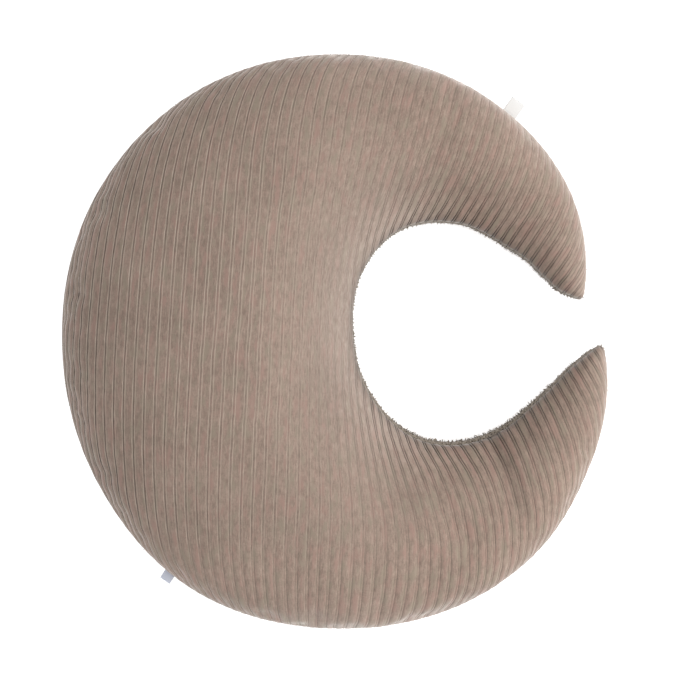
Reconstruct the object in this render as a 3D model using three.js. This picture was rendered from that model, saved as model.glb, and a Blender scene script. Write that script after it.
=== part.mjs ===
// A moon-shaped cushion lying on its back: a ribbed velvet front panel and a teddy
// plush back panel sewn together round the rim, with two bare labels in the seam.
// Millimetres. X runs right, Y up the face, Z out of the face, floor at z = 0.
import * as THREE from 'three';

const DEG = Math.PI / 180;

// Outer rim: reach from the middle of the cushion, by turn anticlockwise from +X.
const OUTER_RIM = [
  { turn: 0, reach: 246 },
  { turn: 10, reach: 263 },
  { turn: 30, reach: 288 },
  { turn: 60, reach: 300 },
  { turn: 90, reach: 300 },
  { turn: 120, reach: 299 },
  { turn: 150, reach: 293 },
  { turn: 180, reach: 286 },
  { turn: 210, reach: 289 },
  { turn: 240, reach: 299 },
  { turn: 270, reach: 300 },
  { turn: 300, reach: 305 },
  { turn: 315, reach: 304 },
  { turn: 330, reach: 297 },
  { turn: 350, reach: 288 },
  { turn: 360, reach: 280 },
];

// Bay rim: reach of the seam from the middle of the bay, and how far the plush below
// the seam bulges past it into the bay.
const BAY_MIDDLE = { x: 125, y: 12 };
const BAY_RIM = [
  { turn: 10, reach: 143, plushPast: 1 },
  { turn: 20, reach: 117, plushPast: 1.5 },
  { turn: 30, reach: 108, plushPast: 1.5 },
  { turn: 45, reach: 104, plushPast: 2 },
  { turn: 60, reach: 102, plushPast: 2 },
  { turn: 90, reach: 112, plushPast: 2 },
  { turn: 120, reach: 121, plushPast: 2 },
  { turn: 150, reach: 117, plushPast: 2 },
  { turn: 180, reach: 110, plushPast: 2 },
  { turn: 210, reach: 113, plushPast: 3.5 },
  { turn: 255, reach: 122, plushPast: 6 },
  { turn: 300, reach: 114, plushPast: 5.5 },
  { turn: 315, reach: 112, plushPast: 4.5 },
  { turn: 330, reach: 117, plushPast: 3.5 },
  { turn: 340, reach: 124, plushPast: 3 },
  { turn: 350, reach: 140, plushPast: 2 },
  { turn: 360, reach: 167, plushPast: 1 },
];
const TIP_ROUNDING = 5;

// The filled form: heights grow with the distance from both rims.
const PLUMP_POWER = 0.6;
const FRONT_PLUMP = 2.77;
const BACK_PLUMP = 3.3;
const SEAM_HEIGHT = 61.6;
const SEAM_FALL = 0.055;
const SEAM_GAP = 0.3;
const SEAM_TUCK = 1.8;
const SEAM_TUCK_HEIGHT = 4;
const SIDE_SWELL = 1.1;
const SIDE_SWELL_HEIGHT = 25;
const PLUSH_ROLL = { starts: 5, ends: 60, reach: 25 };
const FLOOR_BLEND = 6;
const NEAR_RIM = 0.05;
const MIDDLE_REACH = 275;
const MIDDLE_BLEND = 80;

// The soft fold across the lower horn, and where along it the fold comes and goes.
const FOLD = { fromX: 163, fromY: -100, toX: 192, toY: -188, depth: 3.5, breadth: 10 };
const FOLD_COMES = { from: -0.25, to: 0.2 };
const FOLD_GOES = { from: 0.55, to: 1.15 };

// Ribbed velvet: one broad wale and one narrow wale between two grooves each repeat.
const RIB_REPEAT = 11.4;
const RIB_STATIONS = [
  { across: 1.5, rise: 0.5 },
  { across: 4.25, rise: -0.8 },
  { across: 5.7, rise: 0 },
  { across: 7.15, rise: -0.8 },
  { across: 9.9, rise: 0.5 },
];
const RIB_FADE = 3;

// How the wales run over the form.
const WALE_TURN = 3.5;
const WALE_STRETCH = { from: -45, to: 60, gain: 0.31 };
const HORN_BEND = { from: -20, to: 150, upper: 0.45, lower: 0.66, even: 80, reach: 140 };
const HORN_PARTING = { y: 10, softness: 17, blend: 60 };
const OUTER_ROLL_SHARE = 0.44;
const BAY_ROLL_SHARE = 0.2;
const OUTER_DRAG_LENGTH = 34;
const OUTER_DRAG = [
  { turn: 0, drag: 8 },
  { turn: 30, drag: 16 },
  { turn: 60, drag: 24 },
  { turn: 90, drag: 26 },
  { turn: 120, drag: 30 },
  { turn: 150, drag: 26 },
  { turn: 180, drag: 10 },
  { turn: 210, drag: -8 },
  { turn: 240, drag: -20 },
  { turn: 270, drag: 3 },
  { turn: 300, drag: 8 },
  { turn: 330, drag: 7 },
];
const BAY_DRAG_LENGTH = 40;
const BAY_DRAG = [
  { turn: 30, drag: 20 },
  { turn: 60, drag: 25 },
  { turn: 90, drag: 26 },
  { turn: 120, drag: 22 },
  { turn: 150, drag: 14 },
  { turn: 180, drag: 9 },
  { turn: 210, drag: 14 },
  { turn: 240, drag: 24 },
  { turn: 270, drag: 28 },
  { turn: 300, drag: 17 },
  { turn: 330, drag: 10 },
];

// Mesh steps and search limits.
const ROW_STEP = 38;
const ROWS_AT_LEAST = 6;
const BACK_RAYS = 96;
const BACK_STEPS = 14;
const BACK_STEPS_AT_LEAST = 6;
const BACK_STEP = 14;
const BACK_TIP_CROWDING = 0.75;
const SEARCH_REACH = 340;

const LABELS = {
  woven: { turn: 53, points: 54, width: 16.5, out: 17.9 },
  care: { turn: 234, points: 237, width: 12, out: 9.8 },
};
const LABEL_LAYER = 1;
const LABEL_SPLIT = 0.6;
const LABEL_DROOP = 0.008;
const LABEL_CLEAR = 0.35;
const LABEL_FOLD_STEPS = 8;
const LABEL_FLAT_STEPS = 4;

const COLOURS = {
  velvet: 0x97837a,
  plush: 0x857a72,
  woven: 0xeceae6,
  care: 0xd4d8e2,
};

// A smooth curve through table rows, straight on to its ends.
function curveThrough(turns, values) {
  const last = turns.length - 1;
  const slopes = values.map((value, i) => {
    if (i === 0) return (values[1] - value) / (turns[1] - turns[0]);
    if (i === last) return (value - values[i - 1]) / (turns[i] - turns[i - 1]);
    const before = turns[i] - turns[i - 1];
    const after = turns[i + 1] - turns[i];
    const rise = ((value - values[i - 1]) / before) * after;
    const run = ((values[i + 1] - value) / after) * before;
    return (rise + run) / (before + after);
  });
  return (at) => {
    const turn = Math.min(Math.max(at, turns[0]), turns[last]);
    let i = 0;
    while (i < last - 1 && turn >= turns[i + 1]) i += 1;
    const span = turns[i + 1] - turns[i];
    const s = (turn - turns[i]) / span;
    const s2 = s * s;
    const s3 = s2 * s;
    return (
      values[i] * (2 * s3 - 3 * s2 + 1) +
      slopes[i] * span * (s3 - 2 * s2 + s) +
      values[i + 1] * (3 * s2 - 2 * s3) +
      slopes[i + 1] * span * (s3 - s2)
    );
  };
}

function openCurve(rows, column) {
  return curveThrough(rows.map((row) => row.turn), rows.map((row) => row[column]));
}

function ringCurve(rows, column) {
  const turns = [];
  const values = [];
  for (const lap of [-360, 0, 360]) {
    for (const row of rows) {
      turns.push(row.turn + lap);
      values.push(row[column]);
    }
  }
  return curveThrough(turns, values);
}

const outerReach = openCurve(OUTER_RIM, 'reach');
const bayReach = openCurve(BAY_RIM, 'reach');
const plushPast = openCurve(BAY_RIM, 'plushPast');
const outerDrag = ringCurve(OUTER_DRAG, 'drag');
const bayDrag = ringCurve(BAY_DRAG, 'drag');

function turnOf(x, y) {
  const turn = Math.atan2(y, x) / DEG;
  return turn < 0 ? turn + 360 : turn;
}

function ease(from, to, at) {
  const s = Math.min(Math.max((at - from) / (to - from), 0), 1);
  return s * s * (3 - 2 * s);
}

function blend(one, other, share) {
  return one + (other - one) * share;
}

// Distances in from the outer rim and from the bay rim, with the turns about both middles.
function rimDistances(x, y) {
  const outerTurn = turnOf(x, y);
  const bayTurn = turnOf(x - BAY_MIDDLE.x, y - BAY_MIDDLE.y);
  const bayAway = Math.hypot(x - BAY_MIDDLE.x, y - BAY_MIDDLE.y);
  const away = Math.hypot(x, y);
  const reach = blend(MIDDLE_REACH, outerReach(outerTurn), ease(0, MIDDLE_BLEND, away));
  return {
    outerTurn,
    bayTurn,
    bayAway,
    outer: reach - away,
    inner: bayAway - bayReach(bayTurn),
  };
}

// Zero on the rim, half the half-width at the spine; below zero outside.
function fullness(x, y) {
  const rim = rimDistances(x, y);
  if (rim.outer < 0 && rim.inner < 0) return -1;
  const product = rim.outer * rim.inner - (TIP_ROUNDING * TIP_ROUNDING) / 2;
  return product / Math.max(rim.outer + rim.inner, 1);
}

function fullnessSlope(x, y) {
  const step = 0.2;
  return {
    x: (fullness(x + step, y) - fullness(x - step, y)) / (2 * step),
    y: (fullness(x, y + step) - fullness(x, y - step)) / (2 * step),
  };
}

function plump(full) {
  return Math.pow(Math.max(4 * full, 0), PLUMP_POWER);
}

function seamHeight(x) {
  return SEAM_HEIGHT - SEAM_FALL * x;
}

function foldDepth(x, y) {
  const runX = FOLD.toX - FOLD.fromX;
  const runY = FOLD.toY - FOLD.fromY;
  const length = Math.hypot(runX, runY);
  const along = ((x - FOLD.fromX) * runX + (y - FOLD.fromY) * runY) / (length * length);
  const across = ((x - FOLD.fromX) * runY - (y - FOLD.fromY) * runX) / length;
  const comes = ease(FOLD_COMES.from, FOLD_COMES.to, along);
  const goes = ease(FOLD_GOES.from, FOLD_GOES.to, along);
  return FOLD.depth * comes * (1 - goes) * Math.exp(-((across / FOLD.breadth) ** 2));
}

// The extra cloth length that a panel takes up as it rolls down to a rim.
function rollLength(distance, width) {
  const share = (2 * distance) / width;
  if (share >= 1) return 0;
  return FRONT_PLUMP * Math.pow(width, PLUMP_POWER) * (1 - Math.sqrt(share)) ** 2;
}

// Distance across the cloth, in millimetres of ribbing: a wale follows one value.
function waleAt(x, y) {
  const rim = rimDistances(x, y);
  const outer = Math.max(rim.outer, NEAR_RIM);
  const inner = Math.max(rim.inner, NEAR_RIM);
  const away = Math.hypot(x, y);
  const bayAway = Math.max(rim.bayAway, 1);
  const stretchSpan = WALE_STRETCH.to - WALE_STRETCH.from;
  const s = Math.min(Math.max((x - WALE_STRETCH.from) / stretchSpan, 0), 1);
  const stretched = stretchSpan * (s ** 3 - s ** 4 / 2) + Math.max(x - WALE_STRETCH.to, 0);
  let wale = x * Math.cos(WALE_TURN * DEG) - y * Math.sin(WALE_TURN * DEG);
  wale += WALE_STRETCH.gain * stretched;
  const side = y - HORN_PARTING.y;
  const above = ease(-HORN_PARTING.blend, HORN_PARTING.blend, side);
  const bend = blend(HORN_BEND.lower, HORN_BEND.upper, above);
  const fromParting = Math.hypot(side, HORN_PARTING.softness);
  const lift = HORN_BEND.reach * Math.tanh(fromParting / HORN_BEND.reach);
  wale += ease(HORN_BEND.from, HORN_BEND.to, x) * bend * (HORN_BEND.even - lift);
  wale += (OUTER_ROLL_SHARE * rollLength(outer, outer + inner) * x) / Math.max(away, 1);
  wale += (BAY_ROLL_SHARE * rollLength(inner, outer + inner) * (BAY_MIDDLE.x - x)) / bayAway;
  const outerPull = outerDrag(rim.outerTurn) * Math.exp(-outer / OUTER_DRAG_LENGTH);
  wale -= (outerPull * y) / Math.max(away, 1);
  wale += bayDrag(rim.bayTurn) * Math.exp(-inner / BAY_DRAG_LENGTH);
  return wale;
}

function xOnWale(wale, y) {
  let low = -SEARCH_REACH;
  let high = SEARCH_REACH;
  for (let i = 0; i < 26; i += 1) {
    const middle = (low + high) / 2;
    if (waleAt(middle, y) < wale) low = middle;
    else high = middle;
  }
  return (low + high) / 2;
}

function fullOnWale(wale, y) {
  return fullness(xOnWale(wale, y), y);
}

function crossingOnWale(wale, inside, outside) {
  let near = inside;
  let far = outside;
  for (let i = 0; i < 30; i += 1) {
    const middle = (near + far) / 2;
    if (fullOnWale(wale, middle) > 0) near = middle;
    else far = middle;
  }
  return (near + far) / 2;
}

// The stretches of one wale line that lie on the cushion, from low to high y.
function runsOnWale(wale, step = 2) {
  const runs = [];
  let start = null;
  let before = -SEARCH_REACH;
  for (let y = -SEARCH_REACH; y <= SEARCH_REACH; y += step) {
    const inside = fullOnWale(wale, y) > 0;
    if (inside && start === null) start = crossingOnWale(wale, y, before);
    if (!inside && start !== null) {
      runs.push({ from: start, to: crossingOnWale(wale, before, y) });
      start = null;
    }
    before = y;
  }
  return runs;
}

// Where a test on a wale value changes over, between two values.
function changeOver(holds, good, bad) {
  let near = good;
  let far = bad;
  for (let i = 0; i < 16; i += 1) {
    const middle = (near + far) / 2;
    if (holds(middle)) near = middle;
    else far = middle;
  }
  return { near, far };
}

function cosineRows(from, to, atLeast = ROWS_AT_LEAST) {
  const count = Math.max(atLeast, Math.round((to - from) / ROW_STEP) + 4);
  const rows = [];
  for (let i = 0; i <= count; i += 1) {
    rows.push(from + ((to - from) * (1 - Math.cos((Math.PI * i) / count))) / 2);
  }
  return rows;
}

// One point of the front panel over (x, y), raised by the ribbing.
function frontPoint(x, y, rise, onRim) {
  const full = onRim ? 0 : fullness(x, y);
  const slope = fullnessSlope(x, y);
  const steep = Math.hypot(slope.x, slope.y) || 1;
  const outX = -slope.x / steep;
  const outY = -slope.y / steep;
  const height = FRONT_PLUMP * plump(full);
  const tuck = SEAM_TUCK * Math.exp(-height / SEAM_TUCK_HEIGHT);
  const swell = SIDE_SWELL * Math.exp(-height / SIDE_SWELL_HEIGHT);
  const steepness = Math.pow(Math.max(4 * full, NEAR_RIM), PLUMP_POWER - 1);
  const grade = FRONT_PLUMP * PLUMP_POWER * 4 * steepness;
  const normal = new THREE.Vector3(-grade * slope.x, -grade * slope.y, 1).normalize();
  const lift = onRim ? 0 : rise * (1 - Math.exp(-height / RIB_FADE)) - foldDepth(x, y);
  const px = x + outX * (swell - tuck) + normal.x * lift;
  const py = y + outY * (swell - tuck) + normal.y * lift;
  const base = seamHeight(onRim ? px : x) + SEAM_GAP / 2;
  return new THREE.Vector3(px, py, base + height + normal.z * lift);
}

function backPoint(x, y, onRim) {
  const full = onRim ? 0 : fullness(x, y);
  const slope = fullnessSlope(x, y);
  const steep = Math.hypot(slope.x, slope.y) || 1;
  const depth = BACK_PLUMP * plump(full);
  const tuck = SEAM_TUCK * Math.exp(-depth / SEAM_TUCK_HEIGHT);
  const rim = rimDistances(x, y);
  const roll = (1 - Math.exp(-depth / PLUSH_ROLL.starts)) * Math.exp(-depth / PLUSH_ROLL.ends);
  const bulge = plushPast(rim.bayTurn) * roll * Math.exp(-Math.max(rim.inner, 0) / PLUSH_ROLL.reach);
  const swell = SIDE_SWELL * Math.exp(-depth / SIDE_SWELL_HEIGHT) + bulge;
  const px = x - (slope.x / steep) * (swell - tuck);
  const py = y - (slope.y / steep) * (swell - tuck);
  let z = seamHeight(onRim ? px : x) - SEAM_GAP / 2 - depth;
  if (z < -FLOOR_BLEND) z = 0;
  else if (z < FLOOR_BLEND) z = (z + FLOOR_BLEND) ** 2 / (4 * FLOOR_BLEND);
  return new THREE.Vector3(px, py, z);
}

// A growing mesh: points, triangles, then a flat lid over its open rim.
class Shell {
  constructor() {
    this.points = [];
    this.faces = [];
  }

  add(point) {
    this.points.push(point);
    return this.points.length - 1;
  }

  // Zips two chains of {id, along} rows, both running the same way.
  zip(left, right) {
    let i = 0;
    let j = 0;
    while (i < left.length - 1 || j < right.length - 1) {
      const canLeft = i < left.length - 1;
      const canRight = j < right.length - 1;
      const stepLeft = canLeft && (!canRight || left[i + 1].along <= right[j + 1].along);
      const a = left[i].id;
      const b = right[j].id;
      const c = stepLeft ? left[i + 1].id : right[j + 1].id;
      if (a !== b && b !== c && a !== c) this.faces.push([a, b, c]);
      if (stepLeft) i += 1;
      else j += 1;
    }
  }

  // Lids the open rim with a flat cap facing the other way.
  lid() {
    const next = new Map();
    const used = new Set();
    for (const [a, b, c] of this.faces) {
      for (const [p, q] of [[a, b], [b, c], [c, a]]) used.add(`${p}_${q}`);
    }
    for (const [a, b, c] of this.faces) {
      for (const [p, q] of [[a, b], [b, c], [c, a]]) {
        if (!used.has(`${q}_${p}`)) next.set(q, p);
      }
    }
    const first = next.keys().next().value;
    const loop = [first];
    while (next.get(loop[loop.length - 1]) !== first) loop.push(next.get(loop[loop.length - 1]));
    const contour = loop.map((id) => new THREE.Vector2(this.points[id].x, this.points[id].y));
    const turned = THREE.ShapeUtils.isClockWise(contour);
    for (const [a, b, c] of THREE.ShapeUtils.triangulateShape(contour, [])) {
      const clockwise = THREE.ShapeUtils.isClockWise([contour[a], contour[b], contour[c]]);
      if (clockwise === turned) this.faces.push([loop[a], loop[b], loop[c]]);
      else this.faces.push([loop[a], loop[c], loop[b]]);
    }
    return loop.length === next.size;
  }

  mesh(name, colour, roughness) {
    const geometry = new THREE.BufferGeometry();
    const positions = this.points.flatMap((point) => [point.x, point.y, point.z]);
    geometry.setAttribute('position', new THREE.Float32BufferAttribute(positions, 3));
    geometry.setIndex(this.faces.flat());
    geometry.computeVertexNormals();
    const material = new THREE.MeshStandardMaterial({ color: colour, roughness, metalness: 0 });
    material.name = name;
    const mesh = new THREE.Mesh(geometry, material);
    mesh.name = name;
    return mesh;
  }
}

// The wale lines the front panel is meshed on, with the ribbing's rise at each.
function ribStations(from, to) {
  const stations = [];
  for (let repeat = Math.floor(from / RIB_REPEAT); repeat * RIB_REPEAT < to; repeat += 1) {
    for (const station of RIB_STATIONS) {
      const wale = repeat * RIB_REPEAT + station.across;
      if (wale > from && wale < to) stations.push({ wale, rise: station.rise });
    }
  }
  return stations;
}

function buildFrontPanel() {
  const shell = new Shell();
  const leftEnd = changeOver((wale) => runsOnWale(wale).length > 0, -200, -420).near;
  const touch = changeOver((wale) => runsOnWale(wale).length < 2, -60, 120);
  const split = touch.near;
  const upperEnd = changeOver((wale) => runsOnWale(wale).some((run) => run.to > 30), 150, 480).near;
  const lowerEnd = changeOver((wale) => runsOnWale(wale).some((run) => run.from < 0), 150, 480).near;

  const chain = (wale, rise, rows, rimLow, rimHigh) =>
    rows.map((y, i) => {
      const onRim = (rimLow && i === 0) || (rimHigh && i === rows.length - 1);
      return { id: shell.add(frontPoint(xOnWale(wale, y), y, rise, onRim)), along: y };
    });
  const tip = (wale, y) => [{ id: shell.add(frontPoint(xOnWale(wale, y), y, 0, true)), along: y }];

  const parting = runsOnWale(touch.far);
  const partingY = (parting[0].to + parting[1].from) / 2;

  // Left of the bay each wale is one chain.
  const firstRun = runsOnWale(leftEnd, 0.5)[0];
  let last = tip(leftEnd, (firstRun.from + firstRun.to) / 2);
  for (const { wale, rise } of ribStations(leftEnd + 1, split - 1)) {
    const [run] = runsOnWale(wale);
    let rows = cosineRows(run.from, run.to);
    if (wale > split - 40) {
      const lower = cosineRows(run.from, partingY);
      rows = [...lower, ...cosineRows(partingY, run.to).slice(1)];
    }
    const next = chain(wale, rise, rows, true, true);
    shell.zip(last, next);
    last = next;
  }

  // The wale that just touches the bay parts into a lower and an upper chain.
  const lowerPart = chain(split, 0, cosineRows(parting[0].from, partingY), true, true);
  const upperRows = cosineRows(partingY, parting[1].to).slice(1);
  const upperPart = [lowerPart[lowerPart.length - 1], ...chain(split, 0, upperRows, false, true)];
  shell.zip(last, [...lowerPart, ...upperPart.slice(1)]);

  const horn = (start, end, pick) => {
    let before = start;
    for (const { wale, rise } of ribStations(split + 1, end - 1)) {
      const run = pick(runsOnWale(wale));
      const next = chain(wale, rise, cosineRows(run.from, run.to), true, true);
      shell.zip(before, next);
      before = next;
    }
    const endRun = pick(runsOnWale(end, 0.5));
    shell.zip(before, tip(end, (endRun.from + endRun.to) / 2));
  };
  horn(lowerPart, lowerEnd, (runs) => runs[0]);
  horn(upperPart, upperEnd, (runs) => runs[runs.length - 1]);

  const sound = shell.lid();
  if (!sound) throw new Error('front panel rim is not one loop');
  return shell.mesh('front_panel', COLOURS.velvet, 0.85);
}

// Inner and outer crossings of the rim along a ray from the bay's middle.
function rayCrossings(turn) {
  const along = (reach) => ({
    x: BAY_MIDDLE.x + reach * Math.cos(turn * DEG),
    y: BAY_MIDDLE.y + reach * Math.sin(turn * DEG),
  });
  const fullAt = (reach) => {
    const point = along(reach);
    return fullness(point.x, point.y);
  };
  let start = null;
  let end = null;
  for (let reach = 0; reach < 2 * SEARCH_REACH; reach += 1) {
    const inside = fullAt(reach) > 0;
    if (inside && start === null) start = reach;
    if (inside) end = reach;
  }
  if (start === null) return null;
  const refine = (inside, outside) => {
    let near = inside;
    let far = outside;
    for (let i = 0; i < 24; i += 1) {
      const middle = (near + far) / 2;
      if (fullAt(middle) > 0) near = middle;
      else far = middle;
    }
    return near;
  };
  return { inner: refine(start, start - 1), outer: refine(end, end + 1), along };
}

function buildBackPanel() {
  const shell = new Shell();
  const firstTurn = changeOver((turn) => rayCrossings(turn) !== null, 40, 0).near;
  const lastTurn = changeOver((turn) => rayCrossings(turn) !== null, 330, 362).near;
  const tipChain = (turn) => {
    const ray = rayCrossings(turn);
    const middle = ray.along((ray.inner + ray.outer) / 2);
    return [{ id: shell.add(backPoint(middle.x, middle.y, true)), along: 0.5 }];
  };
  let last = tipChain(firstTurn);
  for (let i = 1; i < BACK_RAYS; i += 1) {
    const even = i / BACK_RAYS;
    const crowded = even - (BACK_TIP_CROWDING * Math.sin(2 * Math.PI * even)) / (2 * Math.PI);
    const ray = rayCrossings(firstTurn + (lastTurn - firstTurn) * crowded);
    const wanted = BACK_STEPS_AT_LEAST + Math.round((ray.outer - ray.inner) / BACK_STEP);
    const steps = Math.min(BACK_STEPS, wanted);
    const next = [];
    for (let j = 0; j <= steps; j += 1) {
      const share = (1 - Math.cos((Math.PI * j) / steps)) / 2;
      const point = ray.along(ray.inner + (ray.outer - ray.inner) * share);
      const onRim = j === 0 || j === steps;
      next.push({ id: shell.add(backPoint(point.x, point.y, onRim)), along: share });
    }
    shell.zip(last, next);
    last = next;
  }
  shell.zip(last, tipChain(lastTurn));
  const sound = shell.lid();
  if (!sound) throw new Error('back panel rim is not one loop');
  return shell.mesh('back_panel', COLOURS.plush, 0.95);
}

// A strip folded back on itself, its two raw ends at the seam and its fold outward.
function buildLabel(name, label, colour) {
  const shell = new Shell();
  const half = LABEL_SPLIT / 2;
  const round = half + LABEL_LAYER;
  const straight = label.out - round;
  const arc = (radius) => {
    const points = [];
    for (let i = 0; i <= LABEL_FOLD_STEPS; i += 1) {
      const turn = -Math.PI / 2 + (Math.PI * i) / LABEL_FOLD_STEPS;
      points.push({ s: straight + radius * Math.cos(turn), z: radius * Math.sin(turn) });
    }
    return points;
  };
  const flats = Array.from({ length: LABEL_FLAT_STEPS }, (_, i) => (i * straight) / LABEL_FLAT_STEPS);
  const outline = [
    ...flats.map((s) => ({ s, z: -round })),
    ...arc(round),
    ...flats.slice().reverse().map((s) => ({ s, z: round })),
    ...flats.map((s) => ({ s, z: half })),
    ...arc(half).reverse(),
    ...flats.slice().reverse().map((s) => ({ s, z: -half })),
  ];
  const outX = Math.cos(label.points * DEG);
  const outY = Math.sin(label.points * DEG);
  const reach = outerReach(label.turn) + LABEL_CLEAR;
  const rootX = reach * Math.cos(label.turn * DEG);
  const rootY = reach * Math.sin(label.turn * DEG);
  const rootZ = seamHeight(rootX);
  const place = (point, side) =>
    new THREE.Vector3(
      rootX + outX * point.s - outY * side,
      rootY + outY * point.s + outX * side,
      rootZ + point.z - LABEL_DROOP * point.s ** 2,
    );
  const near = outline.map((point) => shell.add(place(point, -label.width / 2)));
  const far = outline.map((point) => shell.add(place(point, label.width / 2)));
  const contour = outline.map((point) => new THREE.Vector2(point.s, point.z));
  for (const [a, b, c] of THREE.ShapeUtils.triangulateShape(contour, [])) {
    shell.faces.push([near[a], near[b], near[c]]);
    shell.faces.push([far[a], far[c], far[b]]);
  }
  outline.forEach((point, i) => {
    const j = (i + 1) % outline.length;
    shell.faces.push([near[i], far[i], near[j]]);
    shell.faces.push([near[j], far[i], far[j]]);
  });
  return shell.mesh(name, colour, 0.6);
}

const group = new THREE.Group();
group.name = 'moon_cushion';
group.add(buildFrontPanel());
group.add(buildBackPanel());
group.add(buildLabel('woven_label', LABELS.woven, COLOURS.woven));
group.add(buildLabel('care_label', LABELS.care, COLOURS.care));

export default group;
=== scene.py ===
# A moon-shaped cushion on its back: ribbed velvet face, teddy plush underneath, two bare labels.
# Cloth sizes are in millimetres, as on a paper pattern; mm turns them into metres for the meshes.
import math

import bmesh
import bpy
import numpy as np
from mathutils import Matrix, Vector, noise
from mathutils.kdtree import KDTree


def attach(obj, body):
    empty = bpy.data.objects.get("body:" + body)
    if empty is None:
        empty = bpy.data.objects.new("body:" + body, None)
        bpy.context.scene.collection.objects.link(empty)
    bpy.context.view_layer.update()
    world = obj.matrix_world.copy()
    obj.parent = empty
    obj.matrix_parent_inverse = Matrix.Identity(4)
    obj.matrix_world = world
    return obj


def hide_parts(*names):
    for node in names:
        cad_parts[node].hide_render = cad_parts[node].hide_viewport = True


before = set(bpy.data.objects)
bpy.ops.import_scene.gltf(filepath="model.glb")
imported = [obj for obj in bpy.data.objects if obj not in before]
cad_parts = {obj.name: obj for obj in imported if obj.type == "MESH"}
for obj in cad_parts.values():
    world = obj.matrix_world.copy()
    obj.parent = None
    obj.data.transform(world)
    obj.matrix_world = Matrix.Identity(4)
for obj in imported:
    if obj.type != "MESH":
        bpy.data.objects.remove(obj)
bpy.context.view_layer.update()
mm = 0.001
print("stage: the frame is in")


# The node workshop: trees for materials and for geometry are both written with it.

def worked(operation):
    # a method of Value for one kind of Math node; workedBack's value stands right of the sign
    return lambda one, *others: one.math(operation, one, *others)


def workedBack(operation):
    return lambda one, other: one.math(operation, other, one)


class Value:
    # a number on its way through a node tree; arithmetic on it adds Math nodes
    def __init__(self, tree, socket):
        self.tree = tree
        self.socket = socket

    def math(self, operation, *inputs):
        return self.tree.out("ShaderNodeMath", {"operation": operation}, dict(enumerate(inputs)))

    __add__, __radd__ = worked("ADD"), workedBack("ADD")
    __sub__, __rsub__ = worked("SUBTRACT"), workedBack("SUBTRACT")
    __mul__, __rmul__ = worked("MULTIPLY"), workedBack("MULTIPLY")
    __truediv__, __rtruediv__ = worked("DIVIDE"), workedBack("DIVIDE")
    __pow__, least, most = worked("POWER"), worked("MINIMUM"), worked("MAXIMUM")
    abs, fract, sin, exp = worked("ABSOLUTE"), worked("FRACT"), worked("SINE"), worked("EXPONENT")

    def __neg__(self):
        return self * -1.0

    def ease(self, low, high):
        # 0 below low, 1 above high, smooth between; low may be above high
        inputs = {"Value": self, "From Min": low, "From Max": high}
        return self.tree.out("ShaderNodeMapRange", {"interpolation_type": "SMOOTHSTEP"}, inputs)


class Tree:
    def __init__(self, made):
        self.nodes = made.nodes
        self.links = made.links

    def node(self, kind, settings=None, inputs=None):
        made = self.nodes.new(kind)
        for name, setting in (settings or {}).items():
            setattr(made, name, setting)
        for name, value in (inputs or {}).items():
            socket = made.inputs[name]
            if isinstance(value, Value):
                self.links.new(value.socket, socket)
            else:
                socket.default_value = value
        return made

    def out(self, kind, settings=None, inputs=None, output=0):
        return Value(self, self.node(kind, settings, inputs).outputs[output])

    def mix(self, factor, one, other):
        # colours only; a plain colour is three numbers
        made = self.node("ShaderNodeMix", {"data_type": "RGBA"}, {0: factor})
        for place, colour in ((6, one), (7, other)):
            if isinstance(colour, Value):
                self.links.new(colour.socket, made.inputs[place])
            else:
                made.inputs[place].default_value = (*colour, 1.0)
        return Value(self, made.outputs[2])

    def noise(self, place, scale=1.0, detail=3.0, rough=0.6):
        inputs = {"Vector": place, "Scale": scale, "Detail": detail, "Roughness": rough}
        return self.out("ShaderNodeTexNoise", {}, inputs)

    def vector(self, operation, inputs):
        return self.out("ShaderNodeVectorMath", {"operation": operation}, inputs)


class ShapeTree(Tree):
    # a Geometry Nodes tree with a mesh going in and out, and named inputs
    def __init__(self, name, inputs):
        self.group = bpy.data.node_groups.new(name, "GeometryNodeTree")
        self.group.is_modifier = True
        sockets = {"Geometry": "Geometry", **inputs}
        for label, kind in sockets.items():
            self.group.interface.new_socket(label, in_out="INPUT", socket_type="NodeSocket" + kind)
        self.group.interface.new_socket("Geometry", in_out="OUTPUT", socket_type="NodeSocketGeometry")
        super().__init__(self.group)
        self.given = self.node("NodeGroupInput")

    def size(self, name):
        return Value(self, self.given.outputs[name])

    def read(self, name, kind="FLOAT"):
        return self.out("GeometryNodeInputNamedAttribute", {"data_type": kind}, {"Name": name})

    def close(self, geometry, material):
        real = self.out("GeometryNodeRealizeInstances", {}, {"Geometry": geometry})
        coated = self.node("GeometryNodeSetMaterial", {}, {"Geometry": real, "Material": material})
        self.links.new(coated.outputs[0], self.node("NodeGroupOutput").inputs[0])
        return self.group


class CoatTree(Tree):
    # a material's tree, with its shader's own numbers set to start with
    def __init__(self, name, plain):
        self.coat = bpy.data.materials.new(name)
        self.coat.use_nodes = True
        super().__init__(self.coat.node_tree)
        self.shader = self.nodes["Principled BSDF"]
        for socket, value in plain.items():
            self.shader.inputs[socket].default_value = value

    def place(self):
        # metres on the piece, so a noise of scale 1000 has a millimetre's grain
        return self.out("ShaderNodeTexCoord", {}, {}, "Object")

    def cloth(self):
        # the two directions of the cloth's own map
        uv = self.out("ShaderNodeUVMap", {"uv_map": "cloth"})
        split = self.node("ShaderNodeSeparateXYZ", {}, {0: uv})
        return Value(self, split.outputs[0]), Value(self, split.outputs[1])

    def read(self, name):
        return self.out("ShaderNodeAttribute", {"attribute_name": name}, {}, "Fac")

    def bump(self, strength, distance, height):
        inputs = {"Strength": strength, "Distance": distance, "Height": height}
        return self.out("ShaderNodeBump", {}, inputs)

    def shaded(self, colour, factor):
        return self.vector("SCALE", {0: colour, "Scale": factor})

    def close(self, varying):
        for name, value in varying.items():
            self.links.new(value.socket, self.shader.inputs[name])
        return self.coat


# The paper pattern: the same two rims, heights and ribs that the frame's solids were built from.

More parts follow.
